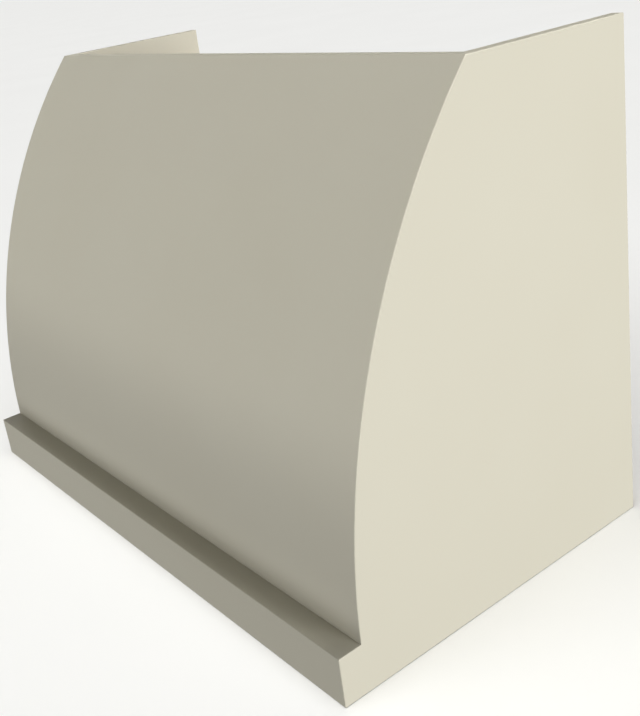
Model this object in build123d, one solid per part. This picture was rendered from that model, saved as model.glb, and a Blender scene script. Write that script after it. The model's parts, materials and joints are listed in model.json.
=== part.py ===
from build123d import *
import os
from math import cos, radians, sin, sqrt

# Curved-front wooden range hood cover that hangs on the wall over a cooktop. It is 42 in wide,
# 30 in tall and 24 in deep, open at the back, the top and the bottom, with a plain 3 in lip.
#
# Millimetres. X runs across the cover, +Z is up and -Y points from the wall into the room.
# The origin is on the wall plane, in the middle of the cover's bottom edge.

# Outside shape
WIDTH = 1066.8  # across both side panels
HEIGHT = 762.0  # bottom edge to top edge
DEPTH_BOTTOM = 609.6  # wall to the face of the lip
DEPTH_TOP = 304.8  # wall to the curved face at the top edge
LIP_HEIGHT = 76.2  # face of the lip, which is also the height of the ledge
LEDGE_WIDTH = 38.1  # flat ledge in front of the foot of the curved face
EDGE_EASE = 1.5  # sanded arris round the outside corners

# Sheets and boards
PANEL = 19.05  # cabinet plywood and solid boards
SKIN_LAYER = 6.35  # each of the two layers of bending plywood
GLUE_LINE = 0.3  # between curved faces that are glued together
HOUSING = 9.525  # depth of the rebates and housings in the side panels
SKIN_TONGUE = 6.35  # how far the skin's inner layer is let into the ledge board

# Frame behind the curved front
RIB_NAMES = ["rib_left", "rib_right"]
RIB_DEPTH = 50.8  # along the radius of the curve
LEDGE_SPARE = 5.75  # ledge board left free behind the ribs
STRETCHER_DEPTH = 50.8
TOP_STRETCHER_DROP = 25.4  # top edge of the cover down to the top stretcher
LAP_FIT = 0.2  # play on each side of a half-lap

# Rails and cleats at the wall
HOOD_CLEAT_DROP = 63.5  # top edge of the cover down to the hood cleat
HOOD_CLEAT_FACE = 76.2  # height of the hood cleat's front face
WALL_CLEAT_FACE = 88.9  # height of the wall cleat's front face
WALL_CLEAT_PLAY = 57.15  # sideways room at each end of the wall cleat
BACK_RAIL_RISE = 31.75  # how far the lower back rail stands above the liner cleats
STUD_SPACING = 406.4  # wall studs are 16 in apart
WALL_HOLE = 6.5  # diameter, clearance on a quarter inch wall screw
WALL_HOLE_MARGIN = 15.875  # wall cleat's edges to its holes, at the least along its length

# Strips round the bottom opening, which the ventilator's liner is screwed up to
LINER_RECESS = 25.4  # bottom edge up to the underside of the strips
LINER_CLEAT = 19.05  # thickness, which is the width of the seat

# Glue blocks and dowels
BLOCK_LEG = 38.1
BLOCK_LENGTH = 25.4
DOWEL = 8.0
DOWEL_LENGTH = 30.0
DOWEL_IN_LIP = 12.0
DOWEL_COUNT = 8
DOWEL_END_MARGIN = 60.0

# Screws and brads
SCREW = 3.8  # shank diameter
SCREW_HEAD = 8.0
SCREW_HEAD_HEIGHT = 2.6
SCREW_POINT = 5.0
SCREW_COVER = 6.35  # wood left beyond the point of a screw
DRIVE_SQUARE = 2.4
DRIVE_DEPTH = 1.6
FASTENER_FIT = 0.05  # between a fastener and its hole
POCKET_ANGLE = 15.0  # degrees between a pocket screw and the board's face
POCKET_SHOULDER = 18.6  # board's end to the seat of the head, along the screw
POCKET_PLAY = 0.75  # round the head of a pocket screw
POCKET_SHARES = (0.35, 0.75)  # places across a stretcher, from its front edge
HOOD_POCKET_MARGIN = 12.7  # hood cleat's edges to its pocket screws
LINER_SCREWS_LONG = 5  # in the front strip and in the back one
LINER_SCREWS_SIDE = 4
LINER_SCREW_MARGIN = 38.1  # ends of a strip to its outer screws
RIB_SCREW_BITE = 19.05  # length of a rib screw that is in the rib
RIB_SCREW_SHARES = (0.2, 0.6)  # places across the bearing, from the back of the skin
BRAD = 1.2
BRAD_LENGTH = 25.4
BRAD_COUNT = 7  # up each rib and each side panel
BRAD_END_MARGIN = 45.0

# Places along the curve and behind it
CURVE_RUN = DEPTH_BOTTOM - LEDGE_WIDTH - DEPTH_TOP
CURVE_RISE = HEIGHT - LIP_HEIGHT
CURVE_RADIUS = (CURVE_RUN**2 + CURVE_RISE**2) / (2 * CURVE_RUN)
CURVE_FOOT_Y = LEDGE_WIDTH - DEPTH_BOTTOM
CURVE_CENTRE_Y = CURVE_FOOT_Y + CURVE_RADIUS
LAYER_GAP = SKIN_LAYER + GLUE_LINE  # face of the cover in to the inner layer
SKIN = LAYER_GAP + SKIN_LAYER  # face of the cover in to the back of the skin
BEARING = SKIN + GLUE_LINE  # face of the cover in to what the skin is glued on

# Places of the boards
INSIDE_X = WIDTH / 2 - PANEL
HOUSED_X = INSIDE_X + HOUSING
LIP_BACK_Y = PANEL - DEPTH_BOTTOM
LEDGE_UNDERSIDE = LIP_HEIGHT - PANEL
LEDGE_BACK_Y = CURVE_FOOT_Y + BEARING + RIB_DEPTH + LEDGE_SPARE
TOP_STRETCHER_TOP = HEIGHT - TOP_STRETCHER_DROP
RIB_TOP = TOP_STRETCHER_TOP - PANEL
MID_STRETCHER_TOP = (LIP_HEIGHT + RIB_TOP + PANEL) / 2
RIB_SPACING = 2 * INSIDE_X / (len(RIB_NAMES) + 1)
RIB_CENTRES = [RIB_SPACING * (i + 1) - INSIDE_X for i in range(len(RIB_NAMES))]
LINER_INSIDE_X = INSIDE_X - LINER_CLEAT
LINER_MID_Z = (LINER_RECESS + LEDGE_UNDERSIDE) / 2

# Places at the wall
HOOD_CLEAT_TOP = HEIGHT - HOOD_CLEAT_DROP
CLEAT_MEETING = HOOD_CLEAT_TOP - HOOD_CLEAT_FACE  # front edges of the two 45 degree bevels
WALL_CLEAT_BOTTOM = CLEAT_MEETING - WALL_CLEAT_FACE
WALL_CLEAT_HALF = INSIDE_X - WALL_CLEAT_PLAY
BACK_RAIL_TOP = LEDGE_UNDERSIDE + BACK_RAIL_RISE
WALL_CLEAT_ROWS = [WALL_CLEAT_BOTTOM + WALL_HOLE_MARGIN, CLEAT_MEETING - PANEL - WALL_HOLE_MARGIN]
BACK_RAIL_ROWS = [LINER_RECESS / 2, (LEDGE_UNDERSIDE + BACK_RAIL_TOP) / 2]
STUD_COUNT = int(2 * (WALL_CLEAT_HALF - WALL_HOLE_MARGIN) // STUD_SPACING) + 1
STUD_CENTRES = [STUD_SPACING * (i - (STUD_COUNT - 1) / 2) for i in range(STUD_COUNT)]

# Lengths of the screws
POCKET_LEAN = radians(POCKET_ANGLE)
POCKET_SCREW_LENGTH = POCKET_SHOULDER + (PANEL - SCREW_COVER) / cos(POCKET_LEAN)
LINER_SCREW_LENGTH = LINER_CLEAT + PANEL - SCREW_COVER
RIB_SCREW_LENGTH = PANEL + RIB_SCREW_BITE

ABOVE = (Align.CENTER, Align.CENTER, Align.MIN)
BELOW = (Align.CENTER, Align.CENTER, Align.MAX)


def block(x, y, z):
    """Rectangular solid between three (low, high) pairs."""
    size = Box(x[1] - x[0], y[1] - y[0], z[1] - z[0], align=(Align.MIN, Align.MIN, Align.MIN))
    return Pos(x[0], y[0], z[0]) * size


def across(profile, x_low, x_high):
    """Solid that has one (Y, Z) profile from x_low to x_high."""
    return extrude(Plane.YZ.offset(x_low) * profile, amount=x_high - x_low)


def front_y(z, inset=0.0):
    """Y of the curved front at height z, or of a curve that lies inset behind it."""
    return CURVE_CENTRE_Y - sqrt((CURVE_RADIUS - inset) ** 2 - (z - LIP_HEIGHT) ** 2)


def curve(z_low, z_high, inset=0.0):
    """Arc that follows the front, inset from its face, between two heights."""
    heights = (z_low, (z_low + z_high) / 2, z_high)
    return ThreePointArc(*[(front_y(z, inset), z) for z in heights])


def curved_band(z_low, z_high, inset_front, inset_back):
    """Profile between two arcs, cut level at the bottom and the top."""
    front = curve(z_low, z_high, inset_front)
    back = curve(z_low, z_high, inset_back)
    return make_face(front + Line(front @ 1, back @ 1) + back + Line(back @ 0, front @ 0))


def stretcher_back_y(top):
    """Back edge of the stretcher whose upper face is at height top."""
    return front_y(top - PANEL / 2, BEARING) + STRETCHER_DEPTH


def spread(count, half_length):
    """Evenly spaced places from -half_length to half_length."""
    return [half_length * (2 * i / (count - 1) - 1) for i in range(count)]


def placed(frames, shape):
    """Copies of one shape, one in each frame."""
    return [frame.location * shape for frame in frames]


# Fasteners, each along Z at the origin, and what their holes remove


def pointed_shank(length):
    """Round screw shank from the XY plane down, with a conical point."""
    body = Pos(0, 0, SCREW_POINT - length) * Cylinder(SCREW / 2, length - SCREW_POINT, align=ABOVE)
    point = Pos(0, 0, -length) * Cone(SCREW / 16, SCREW / 2, SCREW_POINT, align=ABOVE)
    return body + point


def drive_recess(top):
    """Square driver socket that opens upwards at height top."""
    return Pos(0, 0, top - DRIVE_DEPTH / 2) * Box(DRIVE_SQUARE, DRIVE_SQUARE, DRIVE_DEPTH)


def screw_hole(length):
    """Round hole for a screw's shank, from the XY plane down."""
    return Cylinder(SCREW / 2 + FASTENER_FIT, length + FASTENER_FIT, align=BELOW)


def flat_head_screw(length):
    """Countersunk screw, with the face of its head on the XY plane."""
    head = Cone(SCREW / 2, SCREW_HEAD / 2, SCREW_HEAD_HEIGHT, align=BELOW)
    return pointed_shank(length) + head - drive_recess(0)


def flat_head_hole(length):
    """Countersunk hole for a flat-head screw."""
    radii = (SCREW / 2 + FASTENER_FIT, SCREW_HEAD / 2 + FASTENER_FIT)
    return screw_hole(length) + Cone(*radii, SCREW_HEAD_HEIGHT, align=BELOW)


def pocket_screw():
    """Washer-head screw, with its head's seat on the XY plane."""
    head = Cylinder(SCREW_HEAD / 2, SCREW_HEAD_HEIGHT, align=ABOVE)
    head = chamfer(head.edges().sort_by(Axis.Z)[-1], SCREW_HEAD_HEIGHT / 3)
    return pointed_shank(POCKET_SCREW_LENGTH) + head - drive_recess(SCREW_HEAD_HEIGHT)


def pocket_hole():
    """Stepped bore: the wide pocket over the head's seat and the hole below it."""
    pocket_radius = SCREW_HEAD / 2 + POCKET_PLAY
    pocket = Cylinder(pocket_radius, PANEL / sin(POCKET_LEAN), align=ABOVE)
    return pocket + screw_hole(POCKET_SCREW_LENGTH)


def dowel(fit=0.0):
    """Dowel that stands DOWEL_IN_LIP below the XY plane."""
    body = Cylinder(DOWEL / 2 + fit, DOWEL_LENGTH + 2 * fit, align=ABOVE)
    return Pos(0, 0, -DOWEL_IN_LIP - fit) * body


def brad(fit=0.0):
    """Brad from the XY plane down."""
    return Cylinder(BRAD / 2 + fit, BRAD_LENGTH + fit, align=BELOW)


# Frames that the fasteners stand in


def pocket_frame(end_point, side, face):
    """Frame of a pocket screw that leaves a board's end at mid-thickness, towards one side.

    face points out of the face that the pocket is bored in.
    """
    drive = Vector(side, 0, 0) * cos(POCKET_LEAN) - Vector(*face) * sin(POCKET_LEAN)
    return Plane(origin=Vector(*end_point) - drive * POCKET_SHOULDER, z_dir=-drive)


def pocket_frames():
    """Frames of all pocket screws, by the board that they are bored in."""
    frames = {"top_stretcher": [], "mid_stretcher": [], "hood_cleat": [], "lower_back_rail": []}
    tops = {"top_stretcher": TOP_STRETCHER_TOP, "mid_stretcher": MID_STRETCHER_TOP}
    hood_cleat_rows = [CLEAT_MEETING + HOOD_POCKET_MARGIN, HOOD_CLEAT_TOP - HOOD_POCKET_MARGIN]
    rows = {"hood_cleat": hood_cleat_rows, "lower_back_rail": BACK_RAIL_ROWS}
    for side in (-1, 1):
        end_x = side * INSIDE_X
        for name, top in tops.items():
            z = top - PANEL / 2
            for share in POCKET_SHARES:
                y = front_y(z, BEARING) + STRETCHER_DEPTH * share
                frames[name].append(pocket_frame((end_x, y, z), side, (0, 0, 1)))
        for name, heights in rows.items():
            for z in heights:
                frames[name].append(pocket_frame((end_x, -PANEL / 2, z), side, (0, -1, 0)))
    return frames


def rib_head_frames():
    """Frames of the screws down through the top stretcher into the ribs."""
    front = front_y(TOP_STRETCHER_TOP, BEARING)
    bearing = stretcher_back_y(TOP_STRETCHER_TOP) - front
    places = [(x, front + bearing * share) for x in RIB_CENTRES for share in RIB_SCREW_SHARES]
    return [Plane(origin=(x, y, TOP_STRETCHER_TOP), z_dir=(0, 0, 1)) for x, y in places]


def rib_foot_frames():
    """Frames of the screws up through the ledge board into the ribs."""
    front = CURVE_FOOT_Y + BEARING
    places = [(x, front + RIB_DEPTH * share) for x in RIB_CENTRES for share in RIB_SCREW_SHARES]
    return [Plane(origin=(x, y, LEDGE_UNDERSIDE), z_dir=(0, 0, -1)) for x, y in places]


def liner_screw_frames():
    """Frames of the screws through the liner strips, by the board that they go into."""
    y_mid = (LIP_BACK_Y - PANEL) / 2
    y_half = (-PANEL - LIP_BACK_Y) / 2 - LINER_SCREW_MARGIN
    places_y = [y_mid + offset for offset in spread(LINER_SCREWS_SIDE, y_half)]
    places_x = spread(LINER_SCREWS_LONG, LINER_INSIDE_X - LINER_SCREW_MARGIN)
    frames = {}
    for name, side in (("side_panel_left", -1), ("side_panel_right", 1)):
        x = side * LINER_INSIDE_X
        frames[name] = [Plane(origin=(x, y, LINER_MID_Z), z_dir=(-side, 0, 0)) for y in places_y]
    for name, y, inward in (
        ("apron_board", LIP_BACK_Y + LINER_CLEAT, 1),
        ("lower_back_rail", -PANEL - LINER_CLEAT, -1),
    ):
        frames[name] = [Plane(origin=(x, y, LINER_MID_Z), z_dir=(0, inward, 0)) for x in places_x]
    return frames


def brad_frames(x):
    """Frames of one row of brads, each along a radius, with its head on the inner layer."""
    first = LIP_HEIGHT + BRAD_END_MARGIN
    step = (RIB_TOP - BRAD_END_MARGIN - first) / (BRAD_COUNT - 1)
    frames = []
    for i in range(BRAD_COUNT):
        z = first + step * i
        y = front_y(z, LAYER_GAP)
        outward = (0, y - CURVE_CENTRE_Y, z - LIP_HEIGHT)
        frames.append(Plane(origin=(x, y, z), x_dir=(1, 0, 0), z_dir=outward))
    return frames


def dowel_frames():
    """Frames of the dowels, on the joint between the lip board and the ledge board."""
    z = (LEDGE_UNDERSIDE + LIP_HEIGHT - SKIN_TONGUE) / 2
    places = spread(DOWEL_COUNT, INSIDE_X - DOWEL_END_MARGIN)
    return [Plane(origin=(x, LIP_BACK_Y, z), x_dir=(1, 0, 0), z_dir=(0, 1, 0)) for x in places]


# Boards, without the holes for their fasteners


def side_outline():
    """Outline of a side panel, with the lip's toe, the ledge and the curved front."""
    straight = Polyline(
        (CURVE_FOOT_Y, LIP_HEIGHT),
        (-DEPTH_BOTTOM, LIP_HEIGHT),
        (-DEPTH_BOTTOM, 0),
        (0, 0),
        (0, HEIGHT),
        (-DEPTH_TOP, HEIGHT),
    )
    return make_face(straight + curve(LIP_HEIGHT, HEIGHT))


def side_panel():
    """Right side panel, rebated for the skin and the lip board and housed for the ledge board."""
    panel = across(side_outline(), INSIDE_X, WIDTH / 2)
    outside = panel.faces().sort_by(Axis.X)[-1].edges()
    off_the_wall = outside.filter_by(lambda edge: edge.center().Y < -EDGE_EASE)
    ends = panel.edges().filter_by(Axis.X)
    toe = ends.filter_by(lambda edge: edge.center().Y < CURVE_FOOT_Y - EDGE_EASE)
    panel = fillet(off_the_wall + toe, EDGE_EASE)
    rebate = curved_band(LIP_HEIGHT, HEIGHT + PANEL, -PANEL, BEARING)
    housed = (INSIDE_X, HOUSED_X)
    panel -= across(rebate, *housed)
    panel -= block(housed, (-DEPTH_BOTTOM - PANEL, LIP_BACK_Y), (-PANEL, LIP_HEIGHT + PANEL))
    panel -= block(housed, (LIP_BACK_Y - PANEL, LEDGE_BACK_Y), (LEDGE_UNDERSIDE, LIP_HEIGHT))
    return panel


def front_skin_outer():
    """Outer layer of bending plywood, from the ledge to the top edge."""
    return across(curved_band(LIP_HEIGHT, HEIGHT, 0, SKIN_LAYER), -HOUSED_X, HOUSED_X)


def front_skin_inner():
    """Inner layer, with its foot let into the ledge board."""
    band = across(curved_band(LIP_HEIGHT, HEIGHT, LAYER_GAP, SKIN), -HOUSED_X, HOUSED_X)
    foot_y = (CURVE_FOOT_Y + LAYER_GAP, CURVE_FOOT_Y + SKIN)
    return band + block((-HOUSED_X, HOUSED_X), foot_y, (LIP_HEIGHT - SKIN_TONGUE, LIP_HEIGHT))


def stretcher(top):
    """Level board behind the skin, its front edge shaped to the curve."""
    edge = curve(top - PANEL, top, BEARING)
    back = stretcher_back_y(top)
    outline = edge + Polyline(edge @ 1, (back, top), (back, top - PANEL), edge @ 0)
    return across(make_face(outline), -INSIDE_X, INSIDE_X)


def lap_y():
    """Where the ribs and the middle stretcher meet in their half-laps."""
    return stretcher_back_y(MID_STRETCHER_TOP) - STRETCHER_DEPTH / 2


def mid_stretcher():
    """Middle stretcher, notched from the front for each rib."""
    board = stretcher(MID_STRETCHER_TOP)
    notch_z = (MID_STRETCHER_TOP - 2 * PANEL, MID_STRETCHER_TOP + PANEL)
    for x in RIB_CENTRES:
        half_notch = PANEL / 2 + LAP_FIT
        board -= block((x - half_notch, x + half_notch), (-DEPTH_BOTTOM, lap_y()), notch_z)
    return board


def rib(x):
    """Curved former on the ledge board, notched from the back for the middle stretcher."""
    profile = curved_band(LIP_HEIGHT, RIB_TOP, BEARING, BEARING + RIB_DEPTH)
    board = across(profile, x - PANEL / 2, x + PANEL / 2)
    notch_z = (MID_STRETCHER_TOP - PANEL - LAP_FIT, MID_STRETCHER_TOP + LAP_FIT)
    return board - block((x - PANEL, x + PANEL), (lap_y(), 0), notch_z)


def apron_board():
    """Board that is the face of the lip."""
    board = block((-HOUSED_X, HOUSED_X), (-DEPTH_BOTTOM, LIP_BACK_Y), (0, LIP_HEIGHT))
    face = board.faces().sort_by(Axis.Y)[0]
    return fillet(face.edges().filter_by(Axis.X), EDGE_EASE)


def ledge_board():
    """Board behind the lip, grooved for the foot of the skin's inner layer."""
    board = block((-HOUSED_X, HOUSED_X), (LIP_BACK_Y, LEDGE_BACK_Y), (LEDGE_UNDERSIDE, LIP_HEIGHT))
    groove_y = (CURVE_FOOT_Y + SKIN_LAYER, CURVE_FOOT_Y + BEARING)
    return board - block((-WIDTH, WIDTH), groove_y, (LIP_HEIGHT - SKIN_TONGUE, HEIGHT))


def bevelled_cleat(far_edge, half_length):
    """Board on the wall between far_edge and the 45 degree bevel where the two cleats meet."""
    outline = Polyline(
        (0, CLEAT_MEETING - PANEL),
        (-PANEL, CLEAT_MEETING),
        (-PANEL, far_edge),
        (0, far_edge),
        close=True,
    )
    return across(make_face(outline), -half_length, half_length)


def wall_holes(rows):
    """Clearance holes for the wall screws, in rows across the studs."""
    drill = Cylinder(WALL_HOLE / 2, 2 * PANEL, rotation=(90, 0, 0))
    return [Pos(x, -PANEL / 2, z) * drill for x in STUD_CENTRES for z in rows]


def hood_cleat():
    """Upper back rail, whose bevelled lower edge hooks behind the wall cleat."""
    return bevelled_cleat(HOOD_CLEAT_TOP, INSIDE_X)


def wall_cleat():
    """Cleat that stays on the wall when the cover is lifted off."""
    return bevelled_cleat(WALL_CLEAT_BOTTOM, WALL_CLEAT_HALF) - wall_holes(WALL_CLEAT_ROWS)


def lower_back_rail():
    """Rail that is screwed to the studs once the cover hangs on its cleat."""
    rail = block((-INSIDE_X, INSIDE_X), (-PANEL, 0), (0, BACK_RAIL_TOP))
    return rail - wall_holes(BACK_RAIL_ROWS)


def liner_cleats():
    """Four strips round the inside of the bottom opening."""
    height = (LINER_RECESS, LEDGE_UNDERSIDE)
    depth = (LIP_BACK_Y, -PANEL)
    length = (-LINER_INSIDE_X, LINER_INSIDE_X)
    return {
        "liner_cleat_left": block((-INSIDE_X, -LINER_INSIDE_X), depth, height),
        "liner_cleat_right": block((LINER_INSIDE_X, INSIDE_X), depth, height),
        "liner_cleat_front": block(length, (LIP_BACK_Y, LIP_BACK_Y + LINER_CLEAT), height),
        "liner_cleat_back": block(length, (-PANEL - LINER_CLEAT, -PANEL), height),
    }


def glue_blocks():
    """Three-cornered blocks under the stretchers' ends and in front of the hood cleat's ends."""
    triangle = make_face(Polyline((0, 0), (BLOCK_LEG, 0), (0, BLOCK_LEG), close=True))
    corner_block = extrude(triangle, BLOCK_LENGTH / 2, both=True)
    frames = []
    for side in (-1, 1):
        inward = (-side, 0, 0)
        for top in (TOP_STRETCHER_TOP, MID_STRETCHER_TOP):
            corner = (side * INSIDE_X, stretcher_back_y(top) - STRETCHER_DEPTH / 2, top - PANEL)
            frames.append(Plane(origin=corner, x_dir=inward, z_dir=(0, -side, 0)))
        corner = (side * INSIDE_X, -PANEL, (CLEAT_MEETING + HOOD_CLEAT_TOP) / 2)
        frames.append(Plane(origin=corner, x_dir=inward, z_dir=(0, 0, side)))
    return placed(frames, corner_block)


# Assembly


def boards():
    """Every board by its node name, before it is bored."""
    right_panel = side_panel()
    nodes = {
        "side_panel_left": mirror(right_panel, about=Plane.YZ),
        "side_panel_right": right_panel,
        "front_skin_outer": front_skin_outer(),
        "front_skin_inner": front_skin_inner(),
        "top_stretcher": stretcher(TOP_STRETCHER_TOP),
        "mid_stretcher": mid_stretcher(),
        "apron_board": apron_board(),
        "ledge_board": ledge_board(),
        "hood_cleat": hood_cleat(),
        "wall_cleat": wall_cleat(),
        "lower_back_rail": lower_back_rail(),
    }
    nodes.update({name: rib(x) for name, x in zip(RIB_NAMES, RIB_CENTRES)})
    nodes.update(liner_cleats())
    return nodes


def build():
    """All nodes by name: the boards bored for their fasteners, the blocks and the fasteners."""
    nodes = boards()
    pockets = pocket_frames()
    liners = liner_screw_frames()
    rib_brads = {name: brad_frames(x) for name, x in zip(RIB_NAMES, RIB_CENTRES)}
    edge_x = INSIDE_X + HOUSING / 2
    edge_brads = {"side_panel_left": brad_frames(-edge_x), "side_panel_right": brad_frames(edge_x)}
    dowels = dowel_frames()

    all_pockets = [frame for frames in pockets.values() for frame in frames]
    all_liners = [frame for frames in liners.values() for frame in frames]
    all_brads = [frame for frames in (rib_brads | edge_brads).values() for frame in frames]
    rib_heads = rib_head_frames()
    rib_feet = rib_foot_frames()

    pocket_bores = placed(all_pockets, pocket_hole())
    liner_bores = placed(all_liners, flat_head_hole(LINER_SCREW_LENGTH))
    rib_bores = placed(rib_heads + rib_feet, flat_head_hole(RIB_SCREW_LENGTH))
    brad_bores = placed(all_brads, brad(FASTENER_FIT))
    dowel_bores = placed(dowels, dowel(FASTENER_FIT))

    bored_for = {name: [pocket_bores] for name in pockets}
    bored_for["lower_back_rail"].append(liner_bores)
    bored_for["top_stretcher"].append(rib_bores)
    bored_for |= {name: [pocket_bores, liner_bores, brad_bores] for name in edge_brads}
    bored_for |= {name: [rib_bores, brad_bores] for name in rib_brads}
    bored_for |= {name: [liner_bores] for name in liner_cleats()}
    bored_for["front_skin_inner"] = [brad_bores]
    bored_for["apron_board"] = [liner_bores, dowel_bores]
    bored_for["ledge_board"] = [rib_bores, dowel_bores]
    for name, groups in bored_for.items():
        for bores in groups:
            nodes[name] -= bores

    groups = {
        "glue_blocks": glue_blocks(),
        "apron_dowels": placed(dowels, dowel()),
        "pocket_screws": placed(all_pockets, pocket_screw()),
        "liner_cleat_screws": placed(all_liners, flat_head_screw(LINER_SCREW_LENGTH)),
        "rib_screws": placed(rib_heads + rib_feet, flat_head_screw(RIB_SCREW_LENGTH)),
        "skin_brads": placed(all_brads, brad()),
    }
    nodes.update({name: Compound(children=solids) for name, solids in groups.items()})
    return nodes


os.makedirs("parts", exist_ok=True)
for node_name, node_shape in build().items():
    export_step(node_shape, f"parts/{node_name}.step")
print(f"curve radius {CURVE_RADIUS:.2f} mm, its centre at y {CURVE_CENTRE_Y:.2f} and z {LIP_HEIGHT:.2f}")
print(f"wall screw rows at z {WALL_CLEAT_ROWS} and {BACK_RAIL_ROWS}, studs at x {STUD_CENTRES}")
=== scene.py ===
# %% [markdown]
# # A painted wooden range hood cover
#
# A cover like this hides the ventilator over a cooktop. A cabinet maker builds it from two
# plywood sides, a skin of bending plywood over curved ribs, a solid lip and a few rails at
# the wall. The CAD frame holds every piece at its real size and place. This lesson dresses
# that frame: each wooden piece gets a finer mesh with sanded edges and bored holes, and
# each surface gets the finish of the real one, from sprayed paint to raw plywood.
#
# The frame comes first, because every mesh below takes its size and place from it.
# %% Load the frame
import json
from math import cos, pi, radians, sin, sqrt

import bmesh
import bpy
import numpy as np
from mathutils import Matrix, Vector


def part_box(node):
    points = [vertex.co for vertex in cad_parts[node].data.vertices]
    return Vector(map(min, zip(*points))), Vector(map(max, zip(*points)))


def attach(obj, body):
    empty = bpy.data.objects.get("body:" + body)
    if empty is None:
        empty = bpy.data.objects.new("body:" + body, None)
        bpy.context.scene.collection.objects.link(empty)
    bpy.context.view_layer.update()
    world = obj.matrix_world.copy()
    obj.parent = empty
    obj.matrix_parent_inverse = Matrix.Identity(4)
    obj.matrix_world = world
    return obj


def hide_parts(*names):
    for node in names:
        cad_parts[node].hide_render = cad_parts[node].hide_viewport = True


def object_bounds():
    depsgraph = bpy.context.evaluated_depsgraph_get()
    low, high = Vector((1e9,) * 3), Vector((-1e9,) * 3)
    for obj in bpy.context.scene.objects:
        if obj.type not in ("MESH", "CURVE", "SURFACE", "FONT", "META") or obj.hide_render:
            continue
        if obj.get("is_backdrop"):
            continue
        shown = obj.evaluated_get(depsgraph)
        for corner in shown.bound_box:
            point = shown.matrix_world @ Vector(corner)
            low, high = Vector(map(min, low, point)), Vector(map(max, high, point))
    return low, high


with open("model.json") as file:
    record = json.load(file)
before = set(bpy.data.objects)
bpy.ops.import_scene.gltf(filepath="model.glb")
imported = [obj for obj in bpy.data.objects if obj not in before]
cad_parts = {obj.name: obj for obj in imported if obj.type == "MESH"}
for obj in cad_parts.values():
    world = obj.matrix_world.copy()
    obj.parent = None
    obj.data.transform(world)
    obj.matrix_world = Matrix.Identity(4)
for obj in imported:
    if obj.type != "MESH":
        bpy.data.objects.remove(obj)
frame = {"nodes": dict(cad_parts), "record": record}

cad_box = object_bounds()
MM = 0.001
X, Y, Z = 0, 1, 2
scene = bpy.context.scene
cover_low, cover_high = cad_box
print("cover, in mm:", [round((high - low) / MM, 1) for low, high in zip(cover_low, cover_high)])

# %% [markdown]
# ## Reading sizes from the frame
#
# A curved piece also needs its depth at one height, so a second helper looks at the corners
# that lie at that height. Measuring like this keeps the lesson free of copied numbers: if
# the cover is built wider or taller, the meshes follow.
# %% Two ways to measure a CAD piece
HAIR = 0.01 * MM  # two places closer than this are the same place


def depths_at(node, z):
    """Front and back (lowest and highest Y) of a CAD piece at one height."""
    ys = [v.co.y for v in frame["nodes"][node].data.vertices if abs(v.co.z - z) < HAIR]
    return min(ys), max(ys)


side_low, side_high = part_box("side_panel_right")
outer_low, outer_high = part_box("front_skin_outer")
inner_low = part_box("front_skin_inner")[0]
lip_low, lip_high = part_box("apron_board")
ledge_low, ledge_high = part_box("ledge_board")
PANEL = side_high.x - side_low.x
print("board thickness, in mm:", round(PANEL / MM, 2))

# %% [markdown]
# ## The front's curve
#
# The front is part of a cylinder that leaves the ledge straight up and leans back towards
# the top edge. An arc that starts upright is fixed by its rise and its run, so its radius
# follows from those two. One function gives the depth of this arc, or of a smaller one a
# few millimetres behind it, at any height. The skin, the ribs and the stretchers all use it,
# which is why they fit each other.
# %% Find the arc and its depth at any height
foot_y, foot_z = outer_low.y, outer_low.z
top_z = outer_high.z
run, rise = depths_at("front_skin_outer", top_z)[0] - foot_y, top_z - foot_z
radius = (run**2 + rise**2) / (2 * run)
CURVE_STEP = 8 * MM  # flats this short leave the true arc by less than a hundredth of a millimetre


def front_y(z, inset=0.0):
    """Y of the arc that lies inset behind the front's face, at height z."""
    return foot_y + radius - sqrt((radius - inset) ** 2 - (z - foot_z) ** 2)


def arc(z_from, z_to, inset=0.0):
    """Points (y, z) along that arc from one height to another."""
    steps = max(2, round(abs(z_to - z_from) / CURVE_STEP))
    heights = [z_from + (z_to - z_from) * i / steps for i in range(steps + 1)]
    return [(front_y(z, inset), z) for z in heights]


print("radius of the front, in mm:", round(radius / MM, 1))

# %% Where the layers behind the face begin
GLUE_LINE = 0.3 * MM  # the frame leaves this gap between curved faces that are glued together
layer_joint = inner_low.y - foot_y - GLUE_LINE / 2
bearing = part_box("rib_right")[0].y - foot_y - GLUE_LINE
behind_face = [round(inset / MM, 2) for inset in (layer_joint, bearing)]
print("face to the layers' joint and to the ribs, in mm:", behind_face)

# %% [markdown]
# ## Boards from outlines
#
# Most pieces have one outline from end to end, so they begin as a flat outline in the (Y, Z)
# plane that is pushed along X. `bmesh` does this with two end faces and a ring of faces
# between them. A real board never has razor edges: it is eased with sandpaper. A bevel of
# three segments on chosen edges gives that, and catches a thin line of light, as a sanded
# edge does. Edges in a seam that is filled and painted over are left out, or the seam shows.
# %% Push an outline along X
def pushed(outline, x_low, x_high):
    """Closed bmesh that has one (y, z) outline from x_low to x_high."""
    mesh = bmesh.new()
    ends = [[mesh.verts.new((x, y, z)) for y, z in outline] for x in (x_low, x_high)]
    for end in ends:
        mesh.faces.new(end)
    for i, corner in enumerate(ends[0]):
        mesh.faces.new((ends[0][i - 1], corner, ends[1][i], ends[1][i - 1]))
    bmesh.ops.recalc_face_normals(mesh, faces=mesh.faces)
    return mesh


def rectangle(y_low, y_high, z_low, z_high):
    """Outline of a board with square edges."""
    return [(y_low, z_low), (y_high, z_low), (y_high, z_high), (y_low, z_high)]


# %% Ease chosen edges
SANDED = 0.5 * MM  # an arris taken off with a few strokes of sandpaper
EASED = 1.5 * MM  # the rounder arris on the outside corners of the cover
ROUNDING = 3  # flats across a rounded edge
BEND = radians(30)  # edges that turn by less belong to a curve


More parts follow.
